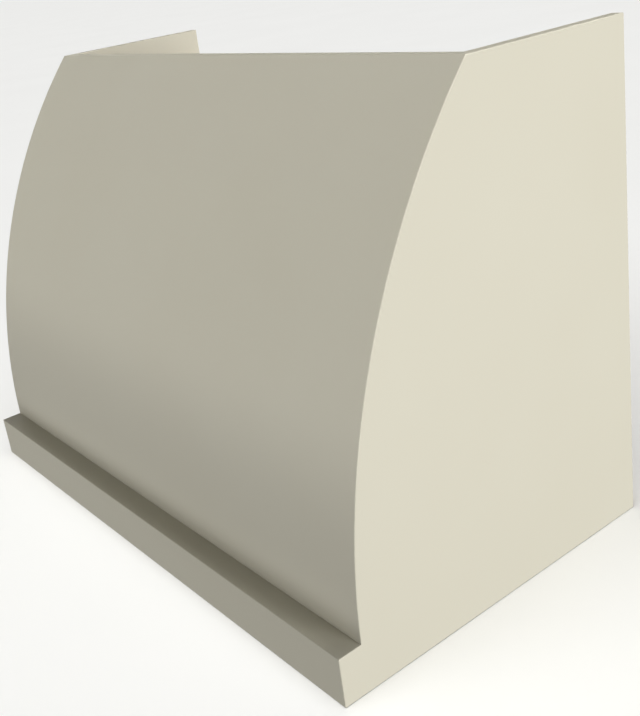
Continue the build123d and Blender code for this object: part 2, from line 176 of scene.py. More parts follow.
def eased(mesh, width, chosen):
    """Round the sharp outer edges whose two ends satisfy chosen."""
    mesh.normal_update()
    sharp = [edge for edge in mesh.edges if edge.is_manifold and edge.calc_face_angle_signed() > BEND]
    picked = [edge for edge in sharp if chosen(edge.verts[0].co, edge.verts[1].co)]
    bmesh.ops.bevel(mesh, geom=picked, offset=width, segments=ROUNDING, profile=0.5, affect="EDGES")
    return mesh


def runs_along(axis):
    """Chooses the edges that run along one axis."""
    return lambda a, b: abs((a - b).normalized()[axis]) > cos(BEND)


# %% [markdown]
# ## Cutting with a Boolean
#
# Rebates, notches and bores are cut into the real boards with a router and drills, so the
# meshes are cut too. The tools are closed meshes of their own: a block, or a stack of rings
# turned about an axis. One exact Boolean takes all of a board's tools out of it at once.
# A slanted pocket that leaves a board at a shallow angle is far easier to cut than to draw.
# %% Turn a tool about an axis
SIDES = 40  # flats round a bore, few enough to stay light and too many to see


def turned(rings, origin, axis):
    """Closed bmesh of circles, each a (radius, height) pair, stacked along axis from origin."""
    mesh = bmesh.new()
    turn = Vector(axis).to_track_quat("Z", "Y").to_matrix()
    angles = [2 * pi * i / SIDES for i in range(SIDES)]
    circles = []
    for r, height in rings:
        points = [Vector((r * cos(a), r * sin(a), height)) for a in angles]
        circles.append([mesh.verts.new(Vector(origin) + turn @ point) for point in points])
    for lower, upper in zip(circles, circles[1:]):
        for i in range(SIDES):
            mesh.faces.new((lower[i - 1], lower[i], upper[i], upper[i - 1]))
    mesh.faces.new(circles[0])
    mesh.faces.new(circles[-1])
    bmesh.ops.recalc_face_normals(mesh, faces=mesh.faces)
    return mesh


# %% Take tools out of a board
def loose_object(name, meshes):
    """Object that holds the given bmeshes, which are used up."""
    data = bpy.data.meshes.new(name)
    whole = bmesh.new()
    for mesh in meshes:
        mesh.to_mesh(data)
        mesh.free()
        whole.from_mesh(data)
    whole.to_mesh(data)
    whole.free()
    made = bpy.data.objects.new(name, data)
    scene.collection.objects.link(made)
    return made


def cut(mesh, tools):
    """The bmesh with every tool taken out of it."""
    if not tools:
        return mesh
    board, cutter = loose_object("board", [mesh]), loose_object("cutter", tools)
    bore = board.modifiers.new("bore", "BOOLEAN")
    bore.operation, bore.solver, bore.object = "DIFFERENCE", "EXACT", cutter
    depsgraph = bpy.context.evaluated_depsgraph_get()
    result = bpy.data.meshes.new_from_object(board.evaluated_get(depsgraph))
    left = bmesh.new()
    left.from_mesh(result)
    for used in (board, cutter):
        bpy.data.meshes.remove(used.data)
    bpy.data.meshes.remove(result)
    return left


# %% [markdown]
# ## From bmesh to a piece
#
# A piece needs three more things. It is shaded smooth, with only its sharp edges kept hard,
# and a Weighted Normal modifier lets the large flat faces decide how the small rounded ones
# blend, so that flats look flat. Then it takes over from its CAD node: it hides the node and
# rides on the same body.
# %% Shade a mesh and let it take over a CAD node
body_of = {node: body for body, nodes in frame["record"]["behaviour"]["bodies"].items() for node in nodes}
SHARP = radians(35)


def piece(name, node, *meshes):
    """Turn bmeshes into the piece that stands for one CAD node."""
    made = loose_object(name, meshes)
    made.data.shade_smooth()
    made.data.set_sharp_from_angle(angle=SHARP)
    flats = made.modifiers.new("flats stay flat", "WEIGHTED_NORMAL")
    flats.keep_sharp = True
    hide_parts(node)
    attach(made, body_of[node])
    print(f"{name}: {len(made.data.polygons)} faces")
    return made


# %% [markdown]
# ## Where the screws are
#
# Pockets and countersinks have to line up with the screws in the frame. Each screw there is
# a separate lump of its node's mesh, and walking from point to point along the edges finds
# the lumps. A screw is round, so its points spread furthest along its own axis, which is
# what a singular value decomposition finds. The end with the wider points is the head.
# %% Separate the solids of a CAD node
WELD = HAIR / 10  # points closer than this become one


def lumps(node):
    """The separate solids of a CAD node, each as a list of its points."""
    mesh = bmesh.new()
    mesh.from_mesh(frame["nodes"][node].data)
    bmesh.ops.remove_doubles(mesh, verts=mesh.verts, dist=WELD)
    seen, found = set(), []
    for start in mesh.verts:
        if start in seen:
            continue
        reached = [start]
        seen.add(start)
        for point in reached:
            for edge in point.link_edges:
                other = edge.other_vert(point)
                if other not in seen:
                    seen.add(other)
                    reached.append(other)
        found.append([tuple(point.co) for point in reached])
    mesh.free()
    return found


# %% Find each screw's head and direction
def head_of(points):
    """Middle of the top of a screw's head, and the direction that the head faces."""
    cloud = np.array(points)
    middle = cloud.mean(axis=0)
    axis = np.linalg.svd(cloud - middle, full_matrices=False)[2][0]
    along = (cloud - middle) @ axis
    off_axis = np.linalg.norm(cloud - middle - np.outer(along, axis), axis=1)
    if off_axis[along < 0].max() > off_axis[along > 0].max():
        axis, along = -axis, -along
    return Vector(middle + axis * along.max()), Vector(axis)


pocket_heads = [head_of(points) for points in lumps("pocket_screws")]
flat_lumps = lumps("liner_cleat_screws") + lumps("rib_screws")
flat_heads = [head_of(points) for points in flat_lumps]
print(len(pocket_heads), "pocket screws and", len(flat_heads), "flat-head screws")

# %% [markdown]
# A pocket is bored at a shallow angle, down to the ledge that the screw's washer head pulls
# on. A flat head sits in a countersink, flush with the wood. Both tools start a little way
# out in the open air, so that they leave no skin of wood behind. A board is bored for the
# screws whose heads lie in it or on its face.
# %% Tools for one board's screws
HEAD_RADIUS = 4 * MM
PAN_HEIGHT = 2.6 * MM  # a pocket screw's head above its seat
FLAT_HEIGHT = 2.6 * MM  # a countersunk head, from its face to the shank
SHANK_RADIUS = 1.9 * MM
POCKET_RADIUS = HEAD_RADIUS + 0.75 * MM  # the bit is wider than the head
POCKET_REACH = 60 * MM  # long enough to run out through the board's face
FIT = 0.1 * MM  # round a flat head


def pocket_tool(head, axis):
    """Bore for a pocket screw's head, from its seat outwards."""
    return turned([(POCKET_RADIUS, -PAN_HEIGHT), (POCKET_RADIUS, POCKET_REACH)], head, axis)


def countersink_tool(head, axis):
    """Cone for a flat head, which stops where the shank begins."""
    rings = [(SHANK_RADIUS + FIT, -FLAT_HEIGHT), (HEAD_RADIUS + FIT, 0), (HEAD_RADIUS + FIT, PAN_HEIGHT)]
    return turned(rings, head, axis)


def screw_tools(node):
    """Tools for every screw whose head lies in a board's box or on it."""
    low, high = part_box(node)

    def in_board(head):
        return all(a - MM < p < b + MM for a, p, b in zip(low, head, high))

    tools = [pocket_tool(head, axis) for head, axis in pocket_heads if in_board(head)]
    return tools + [countersink_tool(head, axis) for head, axis in flat_heads if in_board(head)]


# %% [markdown]
# ## Colours and nodes
#
# A shader tree is easier to read when each line adds one node with all that belongs to it.
# `add` takes the node's kind, a dictionary of its inputs and, as keywords, its other
# settings, and gives back one of its outputs. An input may be a plain value, or the output
# of another node, which is then linked. Colours are written as the hex codes of a paint
# chart, and turned linear, because shaders multiply light, and a hex code doesn't stand
# for amounts of light.
# %% Turn colours linear and add nodes
def linear(code):
    """Linear RGBA of an sRGB hex code such as "DCD7C4", by the curve of the sRGB standard."""
    shares = [int(code[i : i + 2], 16) / 255 for i in (0, 2, 4)]
    return [s / 12.92 if s <= 0.04045 else ((s + 0.055) / 1.055) ** 2.4 for s in shares] + [1.0]


def add(tree, kind, inputs=None, result=0, **settings):
    """Add one shader node, whose inputs are values or other nodes' outputs. Gives one output."""
    made = tree.nodes.new("ShaderNode" + kind)
    for name, value in settings.items():
        setattr(made, name, value)
    for socket, value in (inputs or {}).items():
        if isinstance(value, bpy.types.NodeSocket):
            tree.links.new(value, made.inputs[socket])
        else:
            made.inputs[socket].default_value = value
    return made.outputs[result]


def new_material(name, **shader_values):
    """Gives a material, its tree, its shader with the plain values, and object coordinates."""
    made = bpy.data.materials.new(name)
    made.use_nodes = True
    shader = made.node_tree.nodes["Principled BSDF"]
    for socket, value in shader_values.items():
        shader.inputs[socket.replace("_", " ")].default_value = value
    return made, made.node_tree, shader, add(made.node_tree, "TexCoord", result="Object")


def connect(shader, **outputs):
    """Link outputs of other nodes to the shader's sockets."""
    for socket, output in outputs.items():
        shader.id_data.links.new(output, shader.inputs[socket.replace("_", " ")])


FACTOR, FIRST, SECOND = 0, 6, 7  # the inputs of a Mix node when it mixes colours
COLOURS = {"data_type": "RGBA", "result": 2}  # what makes it mix colours, and its output

# %% [markdown]
# ## Sprayed satin paint
#
# The cover is sprayed with a cabinet lacquer of low sheen, cream with a little grey in it. The
# photograph shows no highlight at all, so the roughness is near 0.6. Lacquer is a dielectric,
# so its IOR is about 1.5 and it isn't metallic. Three things tell it from flat plastic: the
# coat's tone drifts slightly over a hand's width, the gun leaves a fine orange peel, and the
# wood's grain still shows faintly through the coat as long low ridges. All patterns use
# object coordinates, so they run across a filled seam without a break. Real orange peel is
# about 1 mm across, and the lines of the grain are finer still. Both would be lost in a
# picture of the whole cover, so they are drawn at 3 mm and 2.5 mm.
# %% Make the paint for a board whose grain runs along one axis
CREAM = "DBD7C5"
CREAM_SHADED = "D8D3C0"
DRIFT_WIDTH = 220 * MM
PEEL_WIDTH = 3 * MM
PEEL_HEIGHT = 0.012 * MM
GRAIN_WIDTH = 2.5 * MM
GRAIN_LENGTH = 90 * MM
GRAIN_HEIGHT = 0.012 * MM
SMOOTHEST, ROUGHEST = 0.56, 0.64  # roughness


def streaks(tree, place, along, length, width, result=0, **inputs):
    """Noise drawn out into streaks of a length and width, which run along one axis."""
    scale = [1 / width] * 3
    scale[along] = 1 / length
    stretched = add(tree, "VectorMath", {0: place, 1: scale}, operation="MULTIPLY")
    return add(tree, "TexNoise", {"Vector": stretched, "Scale": 1.0, **inputs}, result)


def satin_paint(name, along):
    """Cream lacquer over wood whose grain runs along one axis."""
    made, tree, shader, place = new_material(name, IOR=1.5, Specular_IOR_Level=0.4)
    drift = add(tree, "TexNoise", {"Vector": place, "Scale": 1 / DRIFT_WIDTH, "Detail": 2.0})
    tone = add(tree, "Mix", {FACTOR: drift, FIRST: linear(CREAM), SECOND: linear(CREAM_SHADED)}, **COLOURS)
    peel = add(tree, "TexNoise", {"Vector": place, "Scale": 1 / PEEL_WIDTH, "Detail": 1.0})
    ridges = streaks(tree, place, along, GRAIN_LENGTH, GRAIN_WIDTH, Detail=2.0)
    gloss = add(tree, "MapRange", {0: peel, "To Min": SMOOTHEST, "To Max": ROUGHEST})
    grain = add(tree, "Bump", {"Distance": GRAIN_HEIGHT, "Height": ridges})
    skin = add(tree, "Bump", {"Distance": PEEL_HEIGHT, "Height": peel, "Normal": grain})
    connect(shader, Base_Color=tone, Roughness=gloss, Normal=skin)
    return made


paint_on_sides = satin_paint("cream_lacquer_on_maple_plywood", Z)
paint_on_front = satin_paint("cream_lacquer_on_bending_plywood", X)
paint_on_lip = satin_paint("cream_lacquer_on_poplar", X)
print("paints:", paint_on_sides.name, paint_on_front.name, paint_on_lip.name)

# %% [markdown]
# ## Raw maple plywood
#
# The ribs and stretchers stay raw. Cabinet plywood has a pale maple face and seven plies,
# which lie crosswise in turn, so every cut edge shows light long grain and darker end grain
# by turns, with a thin line of glue between them. The material finds out by itself which is
# which: where the surface faces along the board's thickness it is a face, and elsewhere it
# is an edge, striped by how deep in the board the point lies. Wood patterns drawn in three
# dimensions meet at the corners, which a flat picture of wood can't do.
# %% Tell faces from edges
ASLANT, SQUARE_ON = 0.6, 0.8  # how much of the normal lies along the axis, for 0 and for 1


def facing_along(tree, facing, axis):
    """1 where a surface faces along an axis, to either side, and 0 where it faces elsewhere."""
    turned_to_it = add(tree, "SeparateXYZ", {0: facing}, axis)
    either_side = add(tree, "Math", {0: turned_to_it}, operation="ABSOLUTE")
    return add(tree, "MapRange", {0: either_side, "From Min": ASLANT, "From Max": SQUARE_ON})


# %% Make plywood whose thickness lies along one axis
PLIES = 7
MAPLE, MAPLE_FIGURE = "D9BF95", "C6A674"
LONG_PLY, CROSS_PLY, GLUE = "D2B488", "A37C52", "6E4F35"
FIGURE_LENGTH, FIGURE_WIDTH = 160 * MM, 9 * MM
END_PORE = 0.9 * MM  # real ones are a tenth of this, too fine to show
SEAM_SHARE, SEAM_STRENGTH = 0.08, 0.7  # of a ply's thickness, and of the glue's colour
FUZZ_LENGTH, FUZZ_WIDTH, FUZZ_HEIGHT = 12 * MM, 0.8 * MM, 0.03 * MM  # wider than real fibres


def cabinet_plywood(name, through, first_face, along):
    """Maple plywood from first_face on along one axis, with face grain along another."""
    made, tree, shader, place = new_material(name, Roughness=0.62, IOR=1.5)
    facing = add(tree, "TexCoord", result="Normal")
    figure = streaks(tree, place, along, FIGURE_LENGTH, FIGURE_WIDTH, Detail=4.0, Distortion=0.6)
    face = add(tree, "Mix", {FACTOR: figure, FIRST: linear(MAPLE), SECOND: linear(MAPLE_FIGURE)}, **COLOURS)
    depth = add(tree, "SeparateXYZ", {0: place}, through)
    ply = add(tree, "MapRange", {0: depth, "From Min": first_face, "From Max": first_face + PANEL,
                                 "To Max": PLIES}, clamp=False)
    turn = add(tree, "Math", {0: ply, 1: 1.0}, operation="PINGPONG")
    half = add(tree, "Math", {0: ply, 1: 2.0}, operation="FLOORED_MODULO")
    crosswise = add(tree, "Math", {0: half, 1: 1.0}, operation="GREATER_THAN")
    pores = add(tree, "TexNoise", {"Vector": place, "Scale": 1 / END_PORE, "Detail": 3.0})
    cross = add(tree, "Mix", {FACTOR: pores, FIRST: linear(LONG_PLY), SECOND: linear(CROSS_PLY)}, **COLOURS)
    layer = add(tree, "Mix", {FACTOR: crosswise, FIRST: linear(LONG_PLY), SECOND: cross}, **COLOURS)
    seam = add(tree, "MapRange", {0: turn, "From Max": SEAM_SHARE, "To Min": SEAM_STRENGTH, "To Max": 0})
    edge = add(tree, "Mix", {FACTOR: seam, FIRST: layer, SECOND: linear(GLUE)}, **COLOURS)
    on_face = facing_along(tree, facing, through)
    wood = add(tree, "Mix", {FACTOR: on_face, FIRST: edge, SECOND: face}, **COLOURS)
    nap = streaks(tree, place, along, FUZZ_LENGTH, FUZZ_WIDTH)
    fuzz = add(tree, "Bump", {"Distance": FUZZ_HEIGHT, "Height": nap})
    connect(shader, Base_Color=wood, Normal=fuzz)
    return made


# %% [markdown]
# ## Bending plywood
#
# The skin is two layers of bending plywood, made of soft tropical veneers that run the same
# way, so that a sheet rolls up by hand. Its face is reddish brown with long open pores, all
# in line with the axis of the curve. The pores are real grooves, so they dent the surface,
# and their colour is darkened as painted shade in the grooves. Near the top edge the spray
# gun has left a mist of paint on the raw back, which thins out over two fingers' width.
# %% Make the raw back of the skin
# the last colour is painted shade, for the dark of the pores' grooves
LAUAN, LAUAN_DARK, PORE_SHADE = "B98D68", "A0724E", "74503A"
BAND_LENGTH, BAND_WIDTH = 700 * MM, 28 * MM
PORE_LENGTH, PORE_WIDTH = 22 * MM, 1.1 * MM  # real ones are 0.3 mm wide, too fine to show
PORE_DEPTH, PORE_STRENGTH = 0.15 * MM, 0.75
PORE_BEGINS, PORE_FULL = 0.56, 0.70  # where in the noise's range of 0 to 1
MIST_DEPTH, MIST_DROPS = 35 * MM, 14 * MM
MIST_STRENGTH, MIST_CONTRAST = 0.85, 1.7


def bending_plywood(name):
    """Raw reddish veneer with pores along X, painted shade in the pores, and overspray along the top edge.
    """
    made, tree, shader, place = new_material(name, Roughness=0.7, IOR=1.5)
    bands = streaks(tree, place, X, BAND_LENGTH, BAND_WIDTH, Detail=3.0)
    veneer = add(tree, "Mix", {FACTOR: bands, FIRST: linear(LAUAN), SECOND: linear(LAUAN_DARK)}, **COLOURS)
    lines = streaks(tree, place, X, PORE_LENGTH, PORE_WIDTH, Detail=2.0)
    pores = add(tree, "MapRange", {0: lines, "From Min": PORE_BEGINS, "From Max": PORE_FULL,
                                   "To Max": PORE_STRENGTH})
    # painted shade: the pores are mixed towards a dark brown, standing in for the shade in their grooves
    wood = add(tree, "Mix", {FACTOR: pores, FIRST: veneer, SECOND: linear(PORE_SHADE)}, **COLOURS)
    height = add(tree, "SeparateXYZ", {0: place}, Z)
    fade = add(tree, "MapRange", {0: height, "From Min": top_z - MIST_DEPTH, "From Max": top_z,
                                  "To Max": MIST_STRENGTH}, interpolation_type="SMOOTHSTEP")
    drops = add(tree, "TexNoise", {"Vector": place, "Scale": 1 / MIST_DROPS, "Detail": 4.0})
    patchy = add(tree, "Math", {0: fade, 1: drops}, operation="MULTIPLY")
    mist = add(tree, "Math", {0: patchy, 1: MIST_CONTRAST}, operation="MULTIPLY", use_clamp=True)
    colour = add(tree, "Mix", {FACTOR: mist, FIRST: wood, SECOND: linear(CREAM_SHADED)}, **COLOURS)
    dents = add(tree, "Bump", {"Distance": PORE_DEPTH, "Height": pores}, invert=True)
    connect(shader, Base_Color=colour, Normal=dents)
    return made


raw_skin = bending_plywood("raw_bending_plywood")

# %% [markdown]
# ## Solid wood
#
# Rails, cleats and liner strips are poplar, the glue blocks are pine, and the dowels are
# beech. A board is a slice out of a trunk, so its figure is the trunk's growth rings cut
# open: lines on the long faces, arcs on the ends. A Wave texture set to rings draws them
# about an axis that runs beside the board, where the heart of the trunk was, and gives
# both for free. The rings wander a little, fine fibres run along the board, and the end
# grain drinks more light, so it is darker.
# %% Make a sawn board's wood
WAVE_PERIOD = 2 * pi / 20  # distance between rings in Blender's Wave texture at scale 1
AXIS_NAMES = "XYZ"
WANDER = 24 * MM  # how far a ring strays from round along its length
WANDER_LENGTH, WANDER_WIDTH = 420 * MM, 70 * MM
FIBRE_LENGTH, FIBRE_WIDTH, FIBRE_HEIGHT = 60 * MM, 1.2 * MM, 0.04 * MM  # real ones are too fine to show
CLOUD_LENGTH, CLOUD_WIDTH = 300 * MM, 30 * MM
RING_SHARPNESS, RING_STRENGTH = 2.5, 0.55  # late wood is the thin dark end of each year's growth


def solid_wood(name, along, heart, early, late, end, ring):
    """Wood whose grain runs along one axis, with rings about a line through heart."""
    made, tree, shader, place = new_material(name, Roughness=0.6, IOR=1.5)
    facing = add(tree, "TexCoord", result="Normal")
    bend = streaks(tree, place, along, WANDER_LENGTH, WANDER_WIDTH, result="Color")
    sway = add(tree, "VectorMath", {0: bend, 1: [WANDER] * 3}, operation="MULTIPLY")
    from_heart = add(tree, "VectorMath", {0: place, 1: heart}, operation="SUBTRACT")
    swayed = add(tree, "VectorMath", {0: from_heart, 1: sway}, operation="ADD")
    across = [1.0] * 3
    across[along] = 0.0
    trunk = add(tree, "VectorMath", {0: swayed, 1: across}, operation="MULTIPLY")
    rings = add(tree, "TexWave", {"Vector": trunk, "Scale": WAVE_PERIOD / ring}, "Fac",
                wave_type="RINGS", rings_direction=AXIS_NAMES[along], wave_profile="SAW")
    year = add(tree, "Math", {0: rings, 1: RING_SHARPNESS}, operation="POWER")
    fibres = streaks(tree, place, along, FIBRE_LENGTH, FIBRE_WIDTH, Detail=3.0)
    cloud = streaks(tree, place, along, CLOUD_LENGTH, CLOUD_WIDTH)
    patches = add(tree, "Math", {0: cloud, 1: fibres}, operation="MULTIPLY")
    share = add(tree, "Math", {0: year, 1: RING_STRENGTH, 2: patches},
                operation="MULTIPLY_ADD", use_clamp=True)
    at_end = facing_along(tree, facing, along)
    light = add(tree, "Mix", {FACTOR: at_end, FIRST: linear(early), SECOND: linear(end)}, **COLOURS)
    wood = add(tree, "Mix", {FACTOR: share, FIRST: light, SECOND: linear(late)}, **COLOURS)
    planed = add(tree, "Bump", {"Distance": FIBRE_HEIGHT, "Height": fibres})
    connect(shader, Base_Color=wood, Normal=planed)
    return made


# %% Three woods, and where a board's trunk had its heart
# Each wood has the colours of its early wood, late wood and end grain, and the width of a ring.
POPLAR = "D6C59D", "B7A274", "BBA67E", 6 * MM  # pale, a little green in its yellow, wide soft rings
PINE = "DFC08C", "B5803F", "BF9656", 3.5 * MM  # yellow, with narrow, strongly marked rings
BEECH = "D9AE86", "B98660", "C0936C", 2 * MM  # pinkish brown and even


def heart_near(node, aside, below):
    """A point of the trunk's heart, aside of a board's lowest corner and below it."""
    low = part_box(node)[0]
    return low.x - aside, low.y - aside, low.z - below


# %% [markdown]
# ## Steel
#
# The screws are zinc plated, which is a thin bright metal coat with a cold bluish tone, and
# the plating is slightly uneven from the barrel it was made in. The brads are bare bright
# wire. A metal has its colour in its reflection, so Metallic is 1 and the IOR stays at its
# default. The roughness drifts, as nothing that was tumbled in a barrel is evenly bright.
# %% Make the two steels
SCUFF_WIDTH = 2 * MM


def steel(name, colour, smooth, rough):
    """Metal whose roughness drifts between two values."""
    made, tree, shader, place = new_material(name, Base_Color=linear(colour), Metallic=1.0)
    scuffs = add(tree, "TexNoise", {"Vector": place, "Scale": 1 / SCUFF_WIDTH, "Detail": 3.0})
    drift = add(tree, "MapRange", {0: scuffs, "To Min": smooth, "To Max": rough})
    connect(shader, Roughness=drift)
    return made


zinc = steel("zinc_plated_screw_steel", "C4C8CA", 0.25, 0.5)
wire = steel("bright_steel_wire", "B3B2AE", 0.3, 0.5)
print("raw skin and steels:", raw_skin.name, zinc.name, wire.name)

# %% [markdown]
# ## The side panels
#
# Each side is one sheet of plywood, sawn to the whole silhouette: straight back, level top
# and bottom, curved front and the toe of the lip. Its inner face is rebated, so that the
# skin and the lip run into it and their ends are covered. One cutter takes away what lies in
# front of the rebate's line. The edges that the hand meets are rounded by 1.5 mm, as on the
# frame, and the rest are only sanded.
# %% Outlines of a side panel and of its rebate
OVERCUT = 30 * MM  # how far a cutter reaches past the wood
back_y, bottom_z = side_high.y, side_low.z


def side_outline():
    """Silhouette of the cover from the side."""
    toe = [(side_low.y, bottom_z), (side_low.y, foot_z)]
    return toe + arc(foot_z, side_high.z) + [(back_y, side_high.z), (back_y, bottom_z)]


def rebate_outline():
    """What the router takes away: the room of the lip, the ledge board and the skin."""
    below, above, ahead = bottom_z - OVERCUT, side_high.z + OVERCUT, side_low.y - OVERCUT
    lip = [(lip_high.y, below), (lip_high.y, ledge_low.z)]
    ledge = [(ledge_high.y, ledge_low.z), (ledge_high.y, foot_z)]
    skin = arc(foot_z, side_high.z, bearing)
    return [(ahead, below)] + lip + ledge + skin + [(skin[-1][0], above), (ahead, above)]


def side_panel(name, node, side):
    """Side panel at the left (side -1) or the right (side 1)."""
    inner_x, outer_x = side * side_low.x, side * side_high.x
    mesh = pushed(side_outline(), *sorted((inner_x, outer_x)))
    rebate_x = sorted((inner_x - side * OVERCUT, side * outer_high.x))
    mesh = cut(mesh, [pushed(rebate_outline(), *rebate_x)])

    def both(a, b, axis, place):
        return max(abs(a[axis] - place), abs(b[axis] - place)) < HAIR

    def handled(a, b):
        at_toe = both(a, b, Y, side_low.y) and abs(a.z - b.z) < HAIR
        return at_toe or (both(a, b, X, outer_x) and not both(a, b, Y, back_y))

    def inside_rim(a, b):
        at_rim = both(a, b, Y, back_y) or both(a, b, Z, side_high.z) or both(a, b, Z, bottom_z)
        return both(a, b, X, inner_x) and at_rim

    eased(mesh, EASED, handled)
    return piece(name, node, eased(mesh, SANDED, inside_rim))


left_side = side_panel("left_side", "side_panel_left", -1)
right_side = side_panel("right_side", "side_panel_right", 1)

# %% [markdown]
# ## Paint outside, plywood at the wall
#
# A side is painted all over, except for its rear edge: that faces the wall, and the maker
# leaves it raw. Each face of a mesh names its own material by number, so one test on a
# face's place and direction sorts the painted faces from the raw ones.
# %% Give a piece one or two finishes
SQUARELY = cos(radians(25))  # a normal with more of a direction than this looks that way


def finish(made, first, second=None, is_first=None):
    """Give a piece its material, or two: is_first picks by a face's middle and normal."""
    made.data.materials.append(first)
    if second:
        made.data.materials.append(second)
        for face in made.data.polygons:
            face.material_index = 0 if is_first(face.center, face.normal) else 1
    return made


for made, low_x in ((left_side, -side_high.x), (right_side, side_low.x)):
    raw_edge = cabinet_plywood(made.name + "_raw_plywood", X, low_x, Z)
    finish(made, paint_on_sides, raw_edge, lambda middle, normal: normal.y < SQUARELY)
    print(made.name, "raw faces:", sum(face.material_index for face in made.data.polygons))

# %% [markdown]
# ## The curved front
#
# The skin is two sheets, bent one over the other and glued. The outer one stands on the
# ledge. The inner one reaches a few millimetres further down, into a groove in the ledge
# board, which holds the foot of the whole front in line. The two top edges are flush and
# painted together. A sheet with smooth shading needs flats that are short next to its
# radius, so the arc's points are 8 mm apart, and nothing more has to be bent or subdivided.
# %% Build the two layers
def skin_layer(name, node, inset_front, inset_back, low_z):
    """One bent sheet, with a straight tongue below the foot of the curve if low_z lies under it."""
    face, back = arc(foot_z, top_z, inset_front), arc(top_z, foot_z, inset_back)
    tongue = [(back[-1][0], low_z), (face[0][0], low_z)] if low_z < foot_z - HAIR else []
    mesh = pushed(face + back + tongue, outer_low.x, outer_high.x)

    def outer_arris(a, b):
        shown_y = front_y(top_z, inset_back if inset_front else 0)
        return all(abs(p.z - top_z) < HAIR and abs(p.y - shown_y) < HAIR for p in (a, b))

    return piece(name, node, eased(mesh, SANDED, outer_arris))


curved_front = skin_layer("curved_front", "front_skin_outer", 0, layer_joint, foot_z)
front_backing = skin_layer("front_backing", "front_skin_inner", layer_joint, bearing, inner_low.z)
finish(curved_front, paint_on_front)
finish(front_backing, paint_on_front, raw_skin, lambda middle, normal: middle.z > top_z - MM)

# %% [markdown]
# ## Lip and ledge
#
# The lip is a solid board on edge. Its two front corners are rounded like the sides' toes,
# so that the rounding runs on across the whole width. The ledge board lies flat behind it,
# grooved for the tongue of the skin. Its strip in front of the skin is painted, and the rest
# of it, inside the cover, is raw.
# %% Build the lip and the ledge board
lip_mesh = pushed(rectangle(lip_low.y, lip_high.y, lip_low.z, lip_high.z), lip_low.x, lip_high.x)
eased(lip_mesh, EASED, lambda a, b: runs_along(X)(a, b) and max(a.y, b.y) < lip_low.y + HAIR)
finish(piece("lip", "apron_board", lip_mesh), paint_on_lip)


def ledge_outline():
    """The ledge board from the side, with the groove for the skin's tongue."""
    groove_front, groove_back = foot_y + layer_joint - GLUE_LINE / 2, foot_y + bearing + GLUE_LINE
    groove = [(groove_back, ledge_high.z), (groove_back, inner_low.z), (groove_front, inner_low.z),
              (groove_front, ledge_high.z)]
    bottom = [(ledge_low.y, ledge_low.z), (ledge_high.y, ledge_low.z), (ledge_high.y, ledge_high.z)]
    return bottom + groove + [(ledge_low.y, ledge_high.z)]


ledge_mesh = pushed(ledge_outline(), ledge_low.x, ledge_high.x)
ledge = piece("ledge", "ledge_board", cut(ledge_mesh, screw_tools("ledge_board")))
raw_ledge = solid_wood("raw_poplar_ledge", X, heart_near("ledge_board", aside=0, below=80 * MM), *POPLAR)
finish(ledge, paint_on_lip, raw_ledge,
       lambda middle, normal: normal.z > SQUARELY and middle.y < foot_y + bearing)

# %% [markdown]
# ## Ribs and stretchers
#
# The ribs are what the skin is bent over. Each is a band between two arcs, sawn from
# plywood, with a notch in its back edge where it crosses the middle stretcher. The stretcher
# has matching notches in its front edge, and the two slide into each other as a half-lap.
# A stretcher is a level board whose front edge is shaped to the curve. All of them are cut
# from the same maple plywood, but each shows its plies where its own thickness lies.
# %% Build the ribs
LAP_FIT = 0.2 * MM  # on each side of a notch
mid_low, mid_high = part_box("mid_stretcher")
lap_y = (front_y((mid_low.z + mid_high.z) / 2, bearing) + mid_high.y) / 2


def rib(name, node):
    """Curved former with a notch in its back edge."""
    low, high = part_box(node)
    front, back = depths_at(node, foot_z)
    back_inset = bearing + back - front
    notch_top, notch_bottom = mid_high.z + LAP_FIT, mid_low.z - LAP_FIT
    above = arc(high.z, notch_top, back_inset)
    below = arc(notch_bottom, foot_z, back_inset)
    outline = arc(foot_z, high.z, bearing) + above + [(lap_y, notch_top), (lap_y, notch_bottom)] + below
    mesh = pushed(outline, low.x, high.x)
    eased(mesh, SANDED, lambda a, b: all(p.y > front_y(p.z, back_inset) - HAIR for p in (a, b)))
    plywood = cabinet_plywood(name + "_maple_plywood", X, low.x, Z)
    return finish(piece(name, node, mesh), plywood)


for side in ("left", "right"):
    rib(side + "_rib", "rib_" + side)

# %% Build the stretchers
def stretcher(name, node, notches=()):
    """Level board behind the skin, notched from the front for the ribs that cross it."""
    low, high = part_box(node)
    outline = arc(low.z, high.z, bearing) + [(high.y, high.z), (high.y, low.z)]
    mesh = pushed(outline, low.x, high.x)
    eased(mesh, SANDED, lambda a, b: runs_along(X)(a, b) and min(a.y, b.y) > high.y - HAIR)
    slot_tools = []
    for rib_low, rib_high in notches:
        slot_shape = rectangle(low.y - OVERCUT, lap_y, low.z - OVERCUT, high.z + OVERCUT)
        slot_tools.append(pushed(slot_shape, rib_low.x - LAP_FIT, rib_high.x + LAP_FIT))
    plywood = cabinet_plywood(name + "_maple_plywood", Z, low.z, X)
    return finish(piece(name, node, cut(mesh, slot_tools + screw_tools(node))), plywood)


stretcher("upper_stretcher", "top_stretcher")
stretcher("middle_stretcher", "mid_stretcher", [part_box("rib_left"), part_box("rib_right")])

